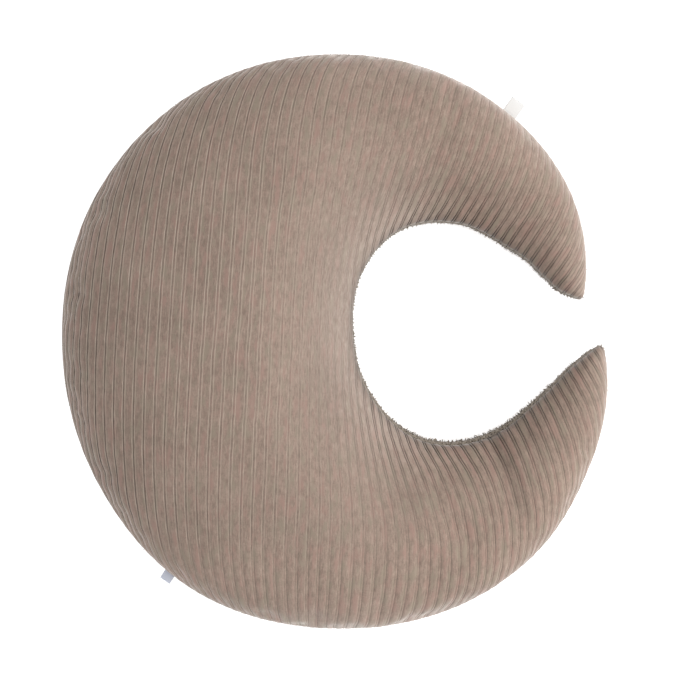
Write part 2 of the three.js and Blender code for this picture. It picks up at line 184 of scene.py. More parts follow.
outerRim = [  # turn about the cushion's middle, reach
    (0, 246), (10, 263), (30, 288), (60, 300), (90, 300), (120, 299), (150, 293), (180, 286),
    (210, 289), (240, 299), (270, 300), (300, 305), (315, 304), (330, 297), (350, 288), (360, 280),
]
bayRim = [  # turn about the bay's middle, reach of the seam, how far the plush shows past it
    (10, 143, 1), (20, 117, 1.5), (30, 108, 1.5), (45, 104, 2), (60, 102, 2), (90, 112, 2),
    (120, 121, 2), (150, 117, 2), (180, 110, 2), (210, 113, 3.5), (255, 122, 6), (300, 114, 5.5),
    (315, 112, 4.5), (330, 117, 3.5), (340, 124, 3), (350, 140, 2), (360, 167, 1),
]
outerDrag = [  # turn, how far the wales are pulled along the outer rim
    (0, 8), (30, 16), (60, 24), (90, 26), (120, 30), (150, 26), (180, 10), (210, -8),
    (240, -20), (270, 3), (300, 8), (330, 7),
]
bayDrag = [  # turn, how far the wales are pulled along the bay rim
    (30, 20), (60, 25), (90, 26), (120, 22), (150, 14), (180, 9), (210, 14), (240, 24),
    (270, 28), (300, 17), (330, 10),
]
form = {
    "bayMiddle": (125, 12),
    "tipRounding": 5,
    "plumpPower": 0.6,
    "frontPlump": 2.77,
    "backPlump": 3.3,
    "seamHeight": 61.6,
    "seamFall": 0.055,
    "seamGap": 0.3,
    "seamTuck": 1.8,
    "tuckHeight": 4,
    "sideSwell": 1.1,
    "swellHeight": 25,
    "plushRollStarts": 5,
    "plushRollEnds": 60,
    "plushRollReach": 25,
    "floorBlend": 6,
    "nearRim": 0.05,
    "middleReach": 275,
    "middleBlend": 80,
    "searchReach": 340,
}
ribbing = {
    "turn": 3.5,
    "stretchFrom": -45,
    "stretchTo": 60,
    "stretchGain": 0.31,
    "hornFrom": -20,
    "hornTo": 150,
    "upperBend": 0.45,
    "lowerBend": 0.66,
    "hornEven": 80,
    "hornReach": 140,
    "partingY": 10,
    "partingSoftness": 17,
    "partingBlend": 60,
    "rollShare": 0.44,
    "bayRollShare": 0.2,
    "outerDragLength": 34,
    "bayDragLength": 40,
}
fold = {
    "start": (163, -100),
    "end": (192, -188),
    "depth": 3.5,
    "breadth": 10,
    "comes": (-0.25, 0.2),
    "goes": (0.55, 1.15),
}


def curveThrough(turns, values):
    # a smooth curve through the rows, sampled finely so that looking it up is quick
    turns = np.array(turns, float)
    values = np.array(values, float)
    run = np.diff(turns)
    grade = np.diff(values) / run
    inner = (grade[:-1] * run[1:] + grade[1:] * run[:-1]) / (run[:-1] + run[1:])
    slope = np.concatenate([grade[:1], inner, grade[-1:]])
    fine = np.linspace(0, 360, 3601)
    at = np.clip(fine, turns[0], turns[-1])
    i = np.clip(np.searchsorted(turns, at, side="right") - 1, 0, len(run) - 1)
    s = (at - turns[i]) / run[i]
    low = values[i] * (2 * s**3 - 3 * s**2 + 1) + slope[i] * run[i] * (s**3 - 2 * s**2 + s)
    high = values[i + 1] * (3 * s**2 - 2 * s**3) + slope[i + 1] * run[i] * (s**3 - s**2)
    return lambda turn: np.interp(turn, fine, low + high)


def openCurve(rows, column=1):
    return curveThrough([row[0] for row in rows], [row[column] for row in rows])


def ringCurve(rows):
    laps = [(row[0] + lap, row[1]) for lap in (-360, 0, 360) for row in rows]
    return openCurve(laps)


outerReach = openCurve(outerRim)
bayReach = openCurve(bayRim)
plushPast = openCurve(bayRim, 2)
outerPull = ringCurve(outerDrag)
bayPull = ringCurve(bayDrag)


def turnOf(x, y):
    return np.degrees(np.arctan2(y, x)) % 360


def ease(low, high, at):
    s = np.clip((at - low) / (high - low), 0, 1)
    return s * s * (3 - 2 * s)


def rimDistances(x, y):
    bx = x - form["bayMiddle"][0]
    by = y - form["bayMiddle"][1]
    outerTurn = turnOf(x, y)
    bayTurn = turnOf(bx, by)
    away = np.hypot(x, y)
    bayAway = np.hypot(bx, by)
    past = outerReach(outerTurn) - form["middleReach"]
    reach = form["middleReach"] + past * ease(0, form["middleBlend"], away)
    return reach - away, bayAway - bayReach(bayTurn), outerTurn, bayTurn, bayAway


def fullness(x, y):
    # zero on the rim, half the half-width along the spine, below zero outside
    outer, inner = rimDistances(x, y)[:2]
    full = (outer * inner - form["tipRounding"] ** 2 / 2) / np.maximum(outer + inner, 1)
    return np.where((outer < 0) & (inner < 0), -1, full)


def fullnessSlope(x, y, step=0.2):
    across = (fullness(x + step, y) - fullness(x - step, y)) / (2 * step)
    along = (fullness(x, y + step) - fullness(x, y - step)) / (2 * step)
    return across, along


def plump(full):
    return np.maximum(4 * full, 0) ** form["plumpPower"]


def seamLevel(x):
    return form["seamHeight"] - form["seamFall"] * x


def foldDepth(x, y):
    runX = fold["end"][0] - fold["start"][0]
    runY = fold["end"][1] - fold["start"][1]
    length = math.hypot(runX, runY)
    dx = x - fold["start"][0]
    dy = y - fold["start"][1]
    along = (dx * runX + dy * runY) / length**2
    across = (dx * runY - dy * runX) / length
    there = ease(*fold["comes"], along) * (1 - ease(*fold["goes"], along))
    return fold["depth"] * there * np.exp(-((across / fold["breadth"]) ** 2))


def rollLength(distance, width):
    # the extra cloth that a panel takes up as it rolls down to a rim
    share = np.clip(2 * distance / width, 0, 1)
    return form["frontPlump"] * width ** form["plumpPower"] * (1 - np.sqrt(share)) ** 2


def waleAt(x, y):
    # distance across the cloth: a wale follows one value
    r = ribbing
    outer, inner, outerTurn, bayTurn, bayAway = rimDistances(x, y)
    outer = np.maximum(outer, form["nearRim"])
    inner = np.maximum(inner, form["nearRim"])
    away = np.maximum(np.hypot(x, y), 1)
    bayAway = np.maximum(bayAway, 1)
    span = r["stretchTo"] - r["stretchFrom"]
    s = np.clip((x - r["stretchFrom"]) / span, 0, 1)
    stretched = span * (s**3 - s**4 / 2) + np.maximum(x - r["stretchTo"], 0)
    lean = math.radians(r["turn"])
    wale = x * math.cos(lean) - y * math.sin(lean) + r["stretchGain"] * stretched
    side = y - r["partingY"]
    upper = ease(-r["partingBlend"], r["partingBlend"], side)
    bend = r["lowerBend"] + (r["upperBend"] - r["lowerBend"]) * upper
    lift = r["hornReach"] * np.tanh(np.hypot(side, r["partingSoftness"]) / r["hornReach"])
    wale += ease(r["hornFrom"], r["hornTo"], x) * bend * (r["hornEven"] - lift)
    wale += r["rollShare"] * rollLength(outer, outer + inner) * x / away
    wale += r["bayRollShare"] * rollLength(inner, outer + inner) * (form["bayMiddle"][0] - x) / bayAway
    wale -= outerPull(outerTurn) * np.exp(-outer / r["outerDragLength"]) * y / away
    wale += bayPull(bayTurn) * np.exp(-inner / r["bayDragLength"])
    return wale


def closeIn(holds, good, bad, rounds=24):
    # where a test changes over, between a value that passes it and one that fails
    near = np.array(good, float)
    far = np.array(bad, float)
    for _ in range(rounds):
        middle = (near + far) / 2
        passed = holds(middle)
        near = np.where(passed, middle, near)
        far = np.where(passed, far, middle)
    return near, far


def changeOver(holds, good, bad):
    near, far = closeIn(holds, good, bad, 16)
    return float(near), float(far)


def xOnWale(wale, y):
    low = np.full(np.broadcast(wale, y).shape, -float(form["searchReach"]))
    near, far = closeIn(lambda x: waleAt(x, y) < wale, low, -low, 26)
    return (near + far) / 2


def ysInside(wales, step=2):
    # for each wale, the rows of y on which the line passes onto and off the cushion
    y = np.arange(-form["searchReach"], form["searchReach"] + step / 2, step)
    columns = np.asarray(wales, float)[:, None]
    inside = fullness(xOnWale(columns, y[None, :]), y[None, :]) > 0
    found = []
    for row in inside:
        starts = np.flatnonzero(row[1:] & ~row[:-1])
        ends = np.flatnonzero(row[:-1] & ~row[1:])
        found.append([(y[i], y[i + 1], y[j], y[j + 1]) for i, j in zip(starts, ends)])
    return found


def crossings(wales, inside, outside):
    # where wale lines cross the rim, each between a y on the cushion and one off it
    near, far = closeIn(lambda y: fullness(xOnWale(wales, y), y) > 0, inside, outside)
    return (near + far) / 2


def runsOnWales(wales, step=2):
    # the stretches of each wale line that lie on the cushion, from low to high y
    found = ysInside(wales, step)
    flat = [(wale, *run) for wale, runs in zip(wales, found) for run in runs]
    wale, before, first, last, after = np.array(flat, float).T
    low = crossings(wale, first, before)
    high = crossings(wale, last, after)
    ends = iter(zip(low, high))
    return [[next(ends) for _ in runs] for runs in found]


# Making meshes: chains of points side by side, zipped together, and a flat lid over the rim.

def zipChains(faces, left, right):
    # each chain is a list of (point, place along); both run the same way
    i = 0
    j = 0
    while i < len(left) - 1 or j < len(right) - 1:
        canLeft = i < len(left) - 1
        canRight = j < len(right) - 1
        stepLeft = canLeft and (not canRight or left[i + 1][1] <= right[j + 1][1])
        a = left[i][0]
        b = right[j][0]
        c = left[i + 1][0] if stepLeft else right[j + 1][0]
        if a != b and b != c and a != c:
            faces.append((a, b, c))
        if stepLeft:
            i += 1
        else:
            j += 1


def meshObject(name, points, faces):
    made = bpy.data.meshes.new(name)
    made.from_pydata([tuple(p) for p in points], [], faces)
    made.validate()
    made.shade_smooth()
    piece = bpy.data.objects.new(name, made)
    bpy.context.scene.collection.objects.link(piece)
    return piece


def putLid(piece):
    # closes the open rim with a flat lid inside the cushion, with a crisp edge to it
    work = bmesh.new()
    work.from_mesh(piece.data)
    rim = [edge for edge in work.edges if edge.is_boundary]
    made = bmesh.ops.contextual_create(work, geom=rim)["faces"]
    for edge in rim:
        edge.smooth = False
    for face in made:
        face.smooth = False
    bmesh.ops.triangulate(work, faces=made, ngon_method="EAR_CLIP")
    bmesh.ops.recalc_face_normals(work, faces=work.faces)
    work.to_mesh(piece.data)
    work.free()


def putAttribute(piece, name, values):
    kind = "FLOAT" if values.ndim == 1 else "FLOAT_VECTOR"
    made = piece.data.attributes.new(name, kind, "POINT")
    made.data.foreach_set("value" if values.ndim == 1 else "vector", values.astype(np.float32).ravel())


def putUv(piece, across, along):
    corners = np.zeros(len(piece.data.loops), np.int32)
    piece.data.loops.foreach_get("vertex_index", corners)
    uv = np.stack([across[corners], along[corners]], axis=1)
    made = piece.data.uv_layers.new(name="cloth")
    made.data.foreach_set("uv", uv.astype(np.float32).ravel())


def takeResult(piece):
    # the evaluated mesh becomes the piece's own, and its modifiers are gone
    graph = bpy.context.evaluated_depsgraph_get()
    made = bpy.data.meshes.new_from_object(piece.evaluated_get(graph), depsgraph=graph)
    piece.modifiers.clear()
    old = piece.data
    piece.data = made
    bpy.data.meshes.remove(old)
    made.name = piece.name
    return piece


def pointsOf(piece):
    found = np.zeros(len(piece.data.vertices) * 3, np.float32)
    piece.data.vertices.foreach_get("co", found)
    return found.reshape(-1, 3).astype(float)


# The two panels' smooth forms, at a point of the paper pattern.

def sideForm(x, y, onRim, plumpness):
    # how full the moon is here, the way in from the rim, the height off the seam, and the side's swell
    full = np.where(onRim, 0, fullness(x, y))
    slopeX, slopeY = fullnessSlope(x, y)
    steep = np.maximum(np.hypot(slopeX, slopeY), 1e-6)
    height = plumpness * plump(full)
    tuck = form["seamTuck"] * np.exp(-height / form["tuckHeight"])
    swell = form["sideSwell"] * np.exp(-height / form["swellHeight"])
    return full, (slopeX, slopeY, steep), height, swell, tuck


def frontForm(x, y, onRim, share=1.0):
    # place, outward direction and height above the seam; share below 1 is a slacker filling
    plumpness = share * form["frontPlump"]
    full, (slopeX, slopeY, steep), height, swell, tuck = sideForm(x, y, onRim, plumpness)
    steepness = np.maximum(4 * full, form["nearRim"]) ** (form["plumpPower"] - 1)
    grade = plumpness * form["plumpPower"] * 4 * steepness
    normal = np.stack([-grade * slopeX, -grade * slopeY, np.ones_like(x)], axis=1)
    normal /= np.linalg.norm(normal, axis=1)[:, None]
    lift = np.where(onRim, 0, -foldDepth(x, y))
    px = x - slopeX / steep * (swell - tuck) + normal[:, 0] * lift
    py = y - slopeY / steep * (swell - tuck) + normal[:, 1] * lift
    base = seamLevel(np.where(onRim, px, x)) + form["seamGap"] / 2
    return np.stack([px, py, base + height + normal[:, 2] * lift], axis=1), normal, height


def backForm(x, y, onRim, share=1.0):
    # place and depth below the seam; the plush rolls out past the bay rim
    _, (slopeX, slopeY, steep), depth, swell, tuck = sideForm(x, y, onRim, share * form["backPlump"])
    _, inner, _, bayTurn, _ = rimDistances(x, y)
    roll = (1 - np.exp(-depth / form["plushRollStarts"])) * np.exp(-depth / form["plushRollEnds"])
    bulge = plushPast(bayTurn) * roll * np.exp(-np.maximum(inner, 0) / form["plushRollReach"])
    push = swell + bulge - tuck
    px = x - slopeX / steep * push
    py = y - slopeY / steep * push
    z = seamLevel(np.where(onRim, px, x)) - form["seamGap"] / 2 - depth
    return np.stack([px, py, onFloor(z)], axis=1), depth


def onFloor(z):
    # flat on the floor, with a soft turn up from it
    blend = form["floorBlend"]
    return np.where(z < -blend, 0, np.where(z < blend, (z + blend) ** 2 / (4 * blend), z))


# for each horn: the turn of a ray that meets it, and of one that passes its tip by
tipRays = {"upper": (40, 0), "lower": (330, 362), "crowding": 0.75}


def raysRound(turns):
    # where rays from the bay's middle meet the inner and the outer rim
    reach = np.arange(0, 2 * form["searchReach"], 1.0)

    def fullAt(turn, far):
        x = form["bayMiddle"][0] + far * np.cos(np.radians(turn))
        y = form["bayMiddle"][1] + far * np.sin(np.radians(turn))
        return fullness(x, y)

    inside = fullAt(turns[:, None], reach[None, :]) > 0
    first = reach[inside.argmax(axis=1)]
    last = reach[inside.shape[1] - 1 - inside[:, ::-1].argmax(axis=1)]

    onCushion = lambda far: fullAt(turns, far) > 0
    inner = closeIn(onCushion, first, first - 1)[0]
    outer = closeIn(onCushion, last, last + 1)[0]
    return inner, outer, inside.any(axis=1)


def rayGrid(rays, stepLength, fewest):
    # chains of pattern points across the moon, from tip to tip; returns x, y, onRim and faces
    meets = lambda turn: bool(raysRound(np.array([turn]))[2][0])
    first = changeOver(meets, *tipRays["upper"])[0]
    last = changeOver(meets, *tipRays["lower"])[0]
    even = np.arange(0, rays + 1) / rays
    crowd = tipRays["crowding"] * np.sin(2 * np.pi * even) / (2 * np.pi)
    turns = first + (last - first) * (even - crowd)
    inner, outer, _ = raysRound(turns)
    places = []
    faces = []
    before = None
    for i, turn in enumerate(turns):
        if i in (0, rays):
            shares = np.array([0.5])
        else:
            steps = fewest + round((outer[i] - inner[i]) / stepLength)
            shares = (1 - np.cos(np.pi * np.arange(steps + 1) / steps)) / 2
        far = inner[i] + (outer[i] - inner[i]) * shares
        start = len(places)
        for j, (one, share) in enumerate(zip(far, shares)):
            onRim = j in (0, len(far) - 1)
            places.append((turn, one, onRim))
        chain = [(start + j, share) for j, share in enumerate(shares)]
        if before is not None:
            zipChains(faces, before, chain)
        before = chain
    turn, far, onRim = np.array(places, float).T
    x = form["bayMiddle"][0] + far * np.cos(np.radians(turn))
    y = form["bayMiddle"][1] + far * np.sin(np.radians(turn))
    return x, y, onRim > 0, faces


# Filling the cushion: cloth under pressure on a coarse copy, then its give carried to the fine panels.

filling = {
    "startShare": 0.975,
    "rays": 150,
    "stepLength": 11,
    "fewestSteps": 6,
    "voxel": 6.5,
    "surplus": 0.03,
    "frames": 20,
    "easeIn": 14,
    "easeOffFloor": 10,
    "heldNearSeam": 7,
    "heldNearFloor": 4,
    "mostMove": 7,
    "carryReach": 7,
    "carryPoints": 10,
}
fillCloth = {  # Blender's own names for the cloth's settings
    "quality": 6,
    "mass": 0.3,
    "tension_stiffness": 15,
    "compression_stiffness": 15,
    "shear_stiffness": 5,
    "bending_stiffness": 0.4,
    "use_pressure": True,
    "uniform_pressure_force": 4.0,
    "shrink_min": -filling["surplus"],
    "vertex_group_mass": "held",
}


def coarseCushion():
    f = filling
    x, y, onRim, faces = rayGrid(f["rays"], f["stepLength"], f["fewestSteps"])
    front = frontForm(x, y, onRim, f["startShare"])[0]
    back = backForm(x, y, onRim, f["startShare"])[0]
    count = len(x)
    both = faces + [tuple(count + i for i in face[::-1]) for face in faces]
    piece = meshObject("filling_copy", np.concatenate([front, back]) * mm, both)
    work = bmesh.new()
    work.from_mesh(piece.data)
    bmesh.ops.remove_doubles(work, verts=work.verts, dist=2 * form["seamGap"] * mm)
    bmesh.ops.recalc_face_normals(work, faces=work.faces)
    work.to_mesh(piece.data)
    work.free()
    remesh = piece.modifiers.new("Even", "REMESH")
    remesh.mode = "VOXEL"
    remesh.voxel_size = f["voxel"] * mm
    return takeResult(piece)


def fillCushion():
    # returns the places on the coarse cloth before filling and how far each one moves
    f = filling
    piece = coarseCushion()
    start = pointsOf(piece)
    x, y, z = start.T / mm
    outer, inner = rimDistances(x, y)[:2]
    nearRim = 1 - ease(f["heldNearSeam"], 2 * f["heldNearSeam"], np.minimum(outer, inner))
    nearSeam = nearRim * (1 - ease(f["heldNearSeam"], 2 * f["heldNearSeam"], np.abs(z - seamLevel(x))))
    nearFloor = 1 - ease(f["heldNearFloor"], 3 * f["heldNearFloor"], z)
    held = piece.vertex_groups.new(name="held")
    for i, weight in enumerate(np.maximum(nearSeam, nearFloor)):
        if weight > 0:
            held.add([i], float(weight), "REPLACE")
    cloth = piece.modifiers.new("Fill", "CLOTH")
    for name, value in fillCloth.items():
        setattr(cloth.settings, name, value)
    cloth.settings.effector_weights.gravity = 0
    cloth.collision_settings.use_collision = False
    cloth.point_cache.frame_start = 1
    cloth.point_cache.frame_end = f["frames"]
    for number in range(1, f["frames"] + 1):
        bpy.context.scene.frame_set(number)
    takeResult(piece)
    move = (pointsOf(piece) - start) / mm
    far = np.linalg.norm(move, axis=1)
    print(f"stage: filled; the cloth moved {far.mean():.1f} mm on average and {far.max():.1f} at most")
    move *= (np.minimum(far, f["mostMove"]) / np.maximum(far, 1e-9))[:, None]
    bpy.data.objects.remove(piece)
    bpy.context.scene.frame_set(1)
    return start / mm, move


def carried(points, filled):
    # the filling's give at fine points, as a soft average of the nearest coarse ones
    start, move = filled
    tree = KDTree(len(start))
    for i, place in enumerate(start):
        tree.insert(place, i)
    tree.balance()
    found = np.zeros_like(points)
    for i, place in enumerate(points):
        near = tree.find_n(place, filling["carryPoints"])
        weights = np.exp(-(np.array([n[2] for n in near]) / filling["carryReach"]) ** 2)
        found[i] = (weights[:, None] * move[[n[1] for n in near]]).sum(axis=0) / weights.sum()
    return found


# Velvet face: columns of points along the wales, then the ribbing raised on them.

velvetFace = {
    "across": (0, 1.5, 2.8, 3.55, 3.95, 4.25, 4.55, 4.95, 5.7, 6.45, 6.85, 7.15, 7.45, 7.85, 8.6, 9.9),
    "rowStep": 5.5,
    "moreRows": 6,
    "fewestRows": 8,
    "partingReach": 40,
    "tipClear": 0.5,
    "partingClear": 0.2,
}
waleSearch = {  # for each end: a wale that passes its test, and one that fails it
    "left": (-200, -420),
    "parting": (-60, 120),
    "tips": (150, 480),
}
hornRows = {"upper": 30, "lower": 0}  # the y that a run on each horn reaches past
ribs = {
    "repeat": 11.4,
    "groovesAt": (4.25, 7.15),
    "grooveWidth": 0.55,
    "looseDepth": 0.12,
    "gatheredDepth": 0.95,
    "broadDome": 0.4,
    "narrowDome": 0.2,
    "fadeHeight": 3,
}
ribInputs = {
    "Repeat": "repeat",
    "Groove Width": "grooveWidth",
    "Loose Depth": "looseDepth",
    "Gathered Depth": "gatheredDepth",
    "Broad Dome": "broadDome",
    "Narrow Dome": "narrowDome",
}
outerGather = [  # turn, how tightly the ribs close up by the outer rim
    (0, 0.3), (45, 0.3), (90, 0.7), (120, 0.9), (150, 0.9), (180, 0.8), (210, 1), (240, 0.9),
    (270, 0.7), (300, 0.5), (330, 0.4),
]
bayGather = [  # turn, how tightly the ribs close up by the bay rim
    (30, 0.8), (60, 0.9), (90, 0.9), (120, 0.7), (150, 0.35), (180, 0.2), (210, 0.5),
    (240, 1), (270, 1), (300, 1), (330, 0.9),
]
paintedRimLightTurns = [  # turn, how strongly the painted sheen and the painted light of the horns show by the outer rim
    (0, 0.7), (30, 1), (60, 1), (85, 0.5), (105, 0), (255, 0), (285, 0.3), (330, 0.5),
]
gatherReach = {"outer": 75, "bay": 42, "outerDepth": 0.45}
# where the velvet is painted with a pale sheen: beside the bay, and along the outer rim of the horns
paintedSheenZone = {"from": 85, "full": 130, "fadeFrom": 225, "to": 275, "reach": 34, "edge": 11}
# the horns, where the ribs take their own painted light: fewer painted highlights, painted shade in the
# valleys and down the wale middles, and painted lightening
overPaintedZone = {"from": -10, "to": 30, "outerShare": 0.35}
# towards the bottom the ribs take their own painted light: fewer painted highlights, painted shade in the
# second groove, and painted lightening
lowerPaintedZone = {"from": -165, "to": -235, "hornFrom": 60, "hornRise": 0.5}
painted = {"tuck": 0.6, "tuckReach": 3, "fold": 0.15}
outerGathered = ringCurve(outerGather)
bayGathered = ringCurve(bayGather)
paintedRimLight = ringCurve(paintedRimLightTurns)


def gatherAndPaintedLight(x, y):
    # how tightly the ribs close up by each rim, and the masks of the painted sheen, painted light and
    # painted shadow on the velvet
    outer, inner, outerTurn, bayTurn, _ = rimDistances(x, y)
    near = lambda distance, reach: np.exp(-np.maximum(distance, 0) / reach)
    g = gatherReach
    p = paintedSheenZone
    o = overPaintedZone
    n = lowerPaintedZone
    byOuter = outerGathered(outerTurn) * near(outer, g["outer"])
    byBay = bayGathered(bayTurn) * near(inner, g["bay"])
    # painted sheen beside the bay, and along the outer rim
    beside = ease(p["from"], p["full"], bayTurn) * ease(p["to"], p["fadeFrom"], bayTurn)
    edge = paintedRimLight(outerTurn) * near(outer, p["edge"])
    shadow = painted["tuck"] * near(inner, painted["tuckReach"])
    return {
        "gather": np.clip(np.maximum(g["outerDepth"] * byOuter, byBay), 0, 1),
        "byOuter": np.clip(byOuter, 0, 1),
        "byBay": np.clip(byBay, 0, 1),
        "pale": np.maximum(beside * near(inner, p["reach"]), edge),
        # the mask of the horns' own painted light and shade
        "over": paintedRimLight(outerTurn) * ease(o["from"], o["to"], inner - o["outerShare"] * outer),
        "shadow": shadow + painted["fold"] * foldDepth(x, y) / fold["depth"],
        # the mask of the lower zone's painted light and shade
        "lower": ease(n["from"], n["to"], y - n["hornRise"] * np.maximum(x - n["hornFrom"], 0)),
    }


def cosineRows(low, high):
    v = velvetFace
    count = max(v["fewestRows"], round((high - low) / v["rowStep"]) + v["moreRows"])
    return low + (high - low) * (1 - np.cos(np.pi * np.arange(count + 1) / count)) / 2


def waleColumns():
    # every point of the velvet as (wale, y, onRim), and the triangles between the columns
    wales = []
    ys = []
    rims = []
    faces = []

    def chain(wale, rows, lowOnRim=True, highOnRim=True):
        start = len(wales)
        for i, y in enumerate(rows):
            wales.append(wale)
            ys.append(y)
            rims.append((lowOnRim and i == 0) or (highOnRim and i == len(rows) - 1))
        return [(start + i, y) for i, y in enumerate(rows)]

    def stations(low, high):
        repeat = ribs["repeat"]
        laps = range(math.floor(low / repeat), math.ceil(high / repeat) + 1)
        found = [lap * repeat + across for lap in laps for across in velvetFace["across"]]
        return [wale for wale in found if low < wale < high]

    def rough(wale):
        return ysInside([wale])[0]

    onUpper = lambda wale: any(run[3] > hornRows["upper"] for run in rough(wale))
    onLower = lambda wale: any(run[0] < hornRows["lower"] for run in rough(wale))
    leftEnd = changeOver(lambda wale: len(rough(wale)) > 0, *waleSearch["left"])[0]
    split, parted = changeOver(lambda wale: len(rough(wale)) < 2, *waleSearch["parting"])
    upperEnd = changeOver(onUpper, *waleSearch["tips"])[0]
    lowerEnd = changeOver(onLower, *waleSearch["tips"])[0]
    ends = runsOnWales([leftEnd, lowerEnd, upperEnd], 0.5)
    parting = runsOnWales([parted])[0]
    partingY = (parting[0][1] + parting[1][0]) / 2

    # left of the bay each wale is one chain
    last = chain(leftEnd, [sum(ends[0][0]) / 2])
    left = stations(leftEnd + velvetFace["tipClear"], split - velvetFace["partingClear"])
    for wale, runs in zip(left, runsOnWales(left)):
        low, high = runs[0]
        if wale > split - velvetFace["partingReach"]:
            rows = np.concatenate([cosineRows(low, partingY), cosineRows(partingY, high)[1:]])
        else:
            rows = cosineRows(low, high)
        following = chain(wale, rows)
        zipChains(faces, last, following)
        last = following

    # the wale that just touches the bay parts into a lower and an upper chain
    lowerPart = chain(split, cosineRows(parting[0][0], partingY))
    upperPart = [lowerPart[-1], *chain(split, cosineRows(partingY, parting[1][1])[1:], False)]
    zipChains(faces, last, [*lowerPart, *upperPart[1:]])
    lower = (lowerPart, lowerEnd, ends[1][0], 0)
    upper = (upperPart, upperEnd, ends[2][-1], -1)
    for before, end, run, pick in (lower, upper):
        horn = stations(split + velvetFace["partingClear"], end - velvetFace["tipClear"])
        for wale, runs in zip(horn, runsOnWales(horn)):
            following = chain(wale, cosineRows(*runs[pick]))
            zipChains(faces, before, following)
            before = following
        zipChains(faces, before, chain(end, [sum(run) / 2]))
    return np.array(wales), np.array(ys), np.array(rims), faces


def ribTree(material):
    # raises the ribs: named inputs are millimetres, the lift is each point's own direction
    tree = ShapeTree("ribbing", {name: "Float" for name in ribInputs})
    size = tree.size
    across = (tree.read("wale") / size("Repeat")).fract() * size("Repeat")
    toGroove = (across - ribs["groovesAt"][0]).abs().least((across - ribs["groovesAt"][1]).abs())
    groove = (-((toGroove / size("Groove Width")) ** 2)).exp()
    broad = size("Repeat") / 2 - (across - size("Repeat") / 2).abs()
    broadTop = (1 - (broad / ribs["groovesAt"][0]) ** 2).most(0)
    narrowHalf = (ribs["groovesAt"][1] - ribs["groovesAt"][0]) / 2
    narrowTop = (1 - ((across - size("Repeat") / 2) / narrowHalf) ** 2).most(0)
    depth = size("Loose Depth") + (size("Gathered Depth") - size("Loose Depth")) * tree.read("gather")
    rise = size("Broad Dome") * broadTop + size("Narrow Dome") * narrowTop - depth * groove
    moved = tree.vector("SCALE", {"Vector": tree.read("lift", "FLOAT_VECTOR"), "Scale": rise * mm})
    placed = tree.out("GeometryNodeSetPosition", {}, {"Geometry": size("Geometry"), "Offset": moved})
    return tree.close(placed, material)


def runTree(piece, group, sizes):
    # the modifier's inputs are set by identifier before the piece is first evaluated
    modifier = piece.modifiers.new("Tree", "NODES")
    modifier.node_group = group
    for socket in group.interface.items_tree:
        if socket.in_out == "INPUT" and socket.name in sizes:
            modifier[socket.identifier] = sizes[socket.name]
    return takeResult(piece)


def dropAttributes(piece, *names):
    for name in names:
        piece.data.attributes.remove(piece.data.attributes[name])


def velvetPanel(filled, material):
    wales, y, onRim, faces = waleColumns()
    x = xOnWale(wales, y)
    share = 1.0 if filled is None else filling["startShare"]
    places, normals, height = frontForm(x, y, onRim, share)
    if filled is not None:
        places += carried(places, filled) * ease(0, filling["easeIn"], height)[:, None]
    piece = meshObject("velvet_panel", places * mm, faces)
    fade = np.where(onRim, 0, 1 - np.exp(-height / ribs["fadeHeight"]))
    putAttribute(piece, "wale", wales)
    putAttribute(piece, "lift", normals * fade[:, None])
    for name, values in gatherAndPaintedLight(x, y).items():
        putAttribute(piece, name, values)
    putUv(piece, wales / ribs["repeat"], y / ribs["repeat"])
    runTree(piece, ribTree(material), {name: ribs[key] for name, key in ribInputs.items()})
    dropAttributes(piece, "wale", "lift", "gather")
    putLid(piece)
    print(f"stage: velvet panel, {len(piece.data.polygons)} faces")
    return piece


# Plush back: the lumpy form, and its pile of short curled locks.

plushBack = {
    "rays": 420,
    "stepLength": 5,
    "fewestSteps": 10,
    "lump": 0.7,
    "lumpSize": 7,
    "finerLump": 0.5,
    "finerBy": 2.3,
    "lumpFade": 4,
    "floorClear": 0.6,
}
plushStand = [  # turn about the bay's middle, how far the locks stand out past the bay rim
    (30, 0.6), (60, 0.5), (90, 0.4), (120, 0.4), (150, 0.4), (180, 0.5), (210, 0.55),
    (230, 0.6), (255, 0.9), (300, 0.9), (330, 0.65),
]
plushStands = ringCurve(plushStand)
standing = {
    "bayFrom": 60,
    "bayFull": 20,
    "spineFrom": -5,
    "spineFull": 25,
    "tipShare": 0.55,
    "tipFrom": 110,
    "tipFull": 35,
    "floorFrom": 1,
    "floorFull": 12,
    "least": 0.15,
}


def plushPanel(filled, material):
    p = plushBack
    x, y, onRim, faces = rayGrid(p["rays"], p["stepLength"], p["fewestSteps"])
    share = 1.0 if filled is None else filling["startShare"]
    places, depth = backForm(x, y, onRim, share)
    if filled is not None:
        give = ease(0, filling["easeIn"], depth) * ease(0, filling["easeOffFloor"], places[:, 2])
        places += carried(places, filled) * give[:, None]
    slopeX, slopeY = fullnessSlope(x, y)
    for i, place in enumerate(places):
        at = Vector(place) / p["lumpSize"]
        lump = noise.noise(at) + p["finerLump"] * noise.noise(at * p["finerBy"])
        if not onRim[i]:
            fade = min(depth[i] / p["lumpFade"], 1) * p["lump"] * lump
            places[i] += np.array([-slopeX[i], -slopeY[i], 0]) * fade
    places[:, 2] = np.maximum(places[:, 2], p["floorClear"] * (depth > 0))
    back = [face[::-1] for face in faces]
    piece = meshObject("plush_panel", places * mm, back)
    putAttribute(piece, "fluff", fluffAt(*places.T))
    piece.data.materials.append(material)
    return piece


